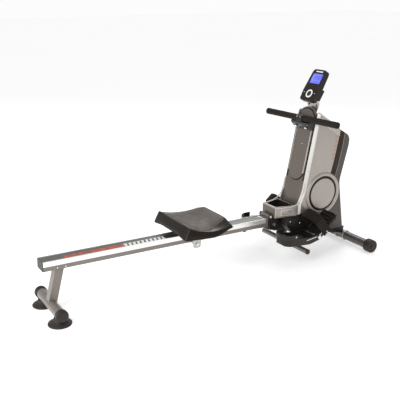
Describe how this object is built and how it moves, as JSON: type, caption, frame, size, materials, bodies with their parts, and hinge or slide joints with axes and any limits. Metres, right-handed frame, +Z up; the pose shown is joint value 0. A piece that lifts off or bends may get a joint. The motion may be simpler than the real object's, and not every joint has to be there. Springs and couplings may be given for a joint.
{
  "type": "rowing machine",
  "caption": "Folding magnetic rowing machine with sliding saddle seat, pull handle, tilting foot plates and a leaning flywheel column.",
  "frame": {"origin": "centre of the bounding box on the floor, under the middle of the machine", "axes": "+X from the rail's rear end to the flywheel unit, +Y to the rower's left, +Z up"},
  "size_m": [1.895, 0.525, 1.0202],
  "materials": {
    "taupe_paint": "satin",
    "silver_shell": "satin",
    "taupe_shell": "satin",
    "dark_plastic": "satin",
    "black_steel": "satin",
    "aluminium_sheath": "brushed",
    "rubber_black": "matte",
    "bright_steel": "satin",
    "seat_leather": "satin",
    "foam_grip": "matte",
    "strap_webbing": "matte",
    "wheel_nylon": "satin",
    "iron": "satin",
    "screen_glass": "gloss",
    "silver_plate": "satin"
  },
  "bodies": {
    "base": {"front_stabilizer": "taupe_paint", "roller_spindles": "bright_steel", "base_beam": "taupe_paint", "front_saddle": "taupe_paint", "mast": "taupe_paint", "cross_bar": "taupe_paint", "cross_bar_caps": "rubber_black", "hinge_bracket": "black_steel", "hinge_bolts": "bright_steel", "rail_bumper": "rubber_black", "pedal_axle": "bright_steel", "left_side_cover": "silver_shell", "right_side_cover": "silver_shell", "left_round_lid": "silver_shell", "right_round_lid": "silver_shell", "face_panel": "taupe_shell", "front_shroud": "taupe_shell", "nose_tray": "silver_shell", "drive_brackets": "black_steel", "drive_axles": "bright_steel", "drive_belt": "rubber_black", "handle_rest": "black_steel", "strap_guide_rollers": "wheel_nylon", "console_bracket": "silver_plate"},
    "rail": {"rail_tube": "taupe_paint", "rail_sheath": "aluminium_sheath", "rail_end_cap": "dark_plastic", "rail_hinge_knuckle": "taupe_paint", "front_seat_stop": "rubber_black", "rear_stabilizer": "taupe_paint", "rear_end_caps": "rubber_black", "rear_feet": "rubber_black", "rear_post": "taupe_paint"},
    "seat": {"seat_cushion": "seat_leather", "seat_pan": "dark_plastic", "seat_carriage": "silver_plate", "seat_axles": "bright_steel"},
    "rear_seat_wheels": {"seat_wheels_rear": "wheel_nylon"},
    "front_seat_wheels": {"seat_wheels_front": "wheel_nylon"},
    "under_seat_wheels": {"seat_wheels_under": "wheel_nylon"},
    "left_roller": {"left_front_roller": "dark_plastic"},
    "right_roller": {"right_front_roller": "dark_plastic"},
    "left_foot_plate": {"left_pedal": "dark_plastic", "left_pedal_strap": "strap_webbing"},
    "right_foot_plate": {"right_pedal": "dark_plastic", "right_pedal_strap": "strap_webbing"},
    "flywheel": {"flywheel": "iron"},
    "pulley": {"drive_pulley": "dark_plastic"},
    "magnet": {"magnet_shoe": "bright_steel"},
    "handle": {"handle_bar": "bright_steel", "handle_grips": "foam_grip", "strap_clamp": "dark_plastic", "pull_strap": "strap_webbing"},
    "console": {"console_case": "dark_plastic", "console_screen": "screen_glass", "battery_box": "dark_plastic"},
    "ring": {"ring_button": "silver_plate"},
    "centre": {"centre_button": "dark_plastic"},
    "left_button": {"left_round_button": "silver_plate"},
    "right_button": {"right_round_button": "silver_plate"}
  },
  "joints": [
    {"name": "rail_fold", "type": "hinge", "parent": "base", "child": "rail", "pos_m": [0.3295, 0, 0.2635], "axis": [0, 1, 0], "range_deg": [0, 88]},
    {"name": "seat_slide", "type": "slide", "parent": "rail", "child": "seat", "axis": [0.9998, 0, -0.019], "range_m": [-0.668, 0.25]},
    {"name": "rear_seat_wheel_spin", "type": "hinge", "parent": "seat", "child": "rear_seat_wheels", "pos_m": [-0.1804, 0, 0.27375], "axis": [0, 1, 0], "continuous": true},
    {"name": "front_seat_wheel_spin", "type": "hinge", "parent": "seat", "child": "front_seat_wheels", "pos_m": [-0.08042, 0, 0.27185], "axis": [0, 1, 0], "continuous": true},
    {"name": "under_seat_wheel_spin", "type": "hinge", "parent": "seat", "child": "under_seat_wheels", "pos_m": [-0.13173, 0, 0.20346], "axis": [0, 1, 0], "continuous": true},
    {"name": "left_roller_spin", "type": "hinge", "parent": "base", "child": "left_roller", "pos_m": [0.9105, 0.225, 0.037], "axis": [0, 1, 0], "continuous": true},
    {"name": "right_roller_spin", "type": "hinge", "parent": "base", "child": "right_roller", "pos_m": [0.9105, -0.225, 0.037], "axis": [0, 1, 0], "continuous": true},
    {"name": "left_pedal_tilt", "type": "hinge", "parent": "base", "child": "left_foot_plate", "pos_m": [0.5275, 0.16, 0.165], "axis": [0, 1, 0], "range_deg": [-12, 25]},
    {"name": "right_pedal_tilt", "type": "hinge", "parent": "base", "child": "right_foot_plate", "pos_m": [0.5275, -0.16, 0.165], "axis": [0, 1, 0], "range_deg": [-12, 25]},
    {"name": "flywheel_spin", "type": "hinge", "parent": "base", "child": "flywheel", "pos_m": [0.6475, 0, 0.357], "axis": [0, 1, 0], "continuous": true},
    {"name": "pulley_spin", "type": "hinge", "parent": "base", "child": "pulley", "pos_m": [0.6825, 0, 0.57], "axis": [0, 1, 0], "continuous": true},
    {"name": "magnet_lift", "type": "hinge", "parent": "base", "child": "magnet", "pos_m": [0.7325, 0, 0.466], "axis": [0, 1, 0], "range_deg": [0, 10]},
    {"name": "handle_pull", "type": "slide", "parent": "base", "child": "handle", "axis": [-1, 0, 0], "range_m": [0, 1.05], "stiffness_N_per_m": 25, "springref_m": -0.4},
    {"name": "console_tilt", "type": "hinge", "parent": "base", "child": "console", "pos_m": [0.6285, 0, 0.861], "axis": [0, 1, 0], "range_deg": [-15, 20]},
    {"name": "ring_press", "type": "slide", "parent": "console", "child": "ring", "axis": [0.859, 0, -0.512], "range_m": [0, 0.001], "stiffness_N_per_m": 600, "springref_m": -0.0008},
    {"name": "centre_press", "type": "slide", "parent": "console", "child": "centre", "axis": [0.859, 0, -0.512], "range_m": [0, 0.001], "stiffness_N_per_m": 600, "springref_m": -0.0008},
    {"name": "left_round_press", "type": "slide", "parent": "console", "child": "left_button", "axis": [0.859, 0, -0.512], "range_m": [0, 0.001], "stiffness_N_per_m": 600, "springref_m": -0.0008},
    {"name": "right_round_press", "type": "slide", "parent": "console", "child": "right_button", "axis": [0.859, 0, -0.512], "range_m": [0, 0.001], "stiffness_N_per_m": 600, "springref_m": -0.0008}
  ],
  "couplings": [
    {"joint": "rear_seat_wheel_spin", "follows": "seat_slide", "rad_per_m": 80},
    {"joint": "front_seat_wheel_spin", "follows": "seat_slide", "rad_per_m": 80},
    {"joint": "under_seat_wheel_spin", "follows": "seat_slide", "rad_per_m": -80},
    {"joint": "pulley_spin", "follows": "handle_pull", "rad_per_m": -38.462}
  ]
}
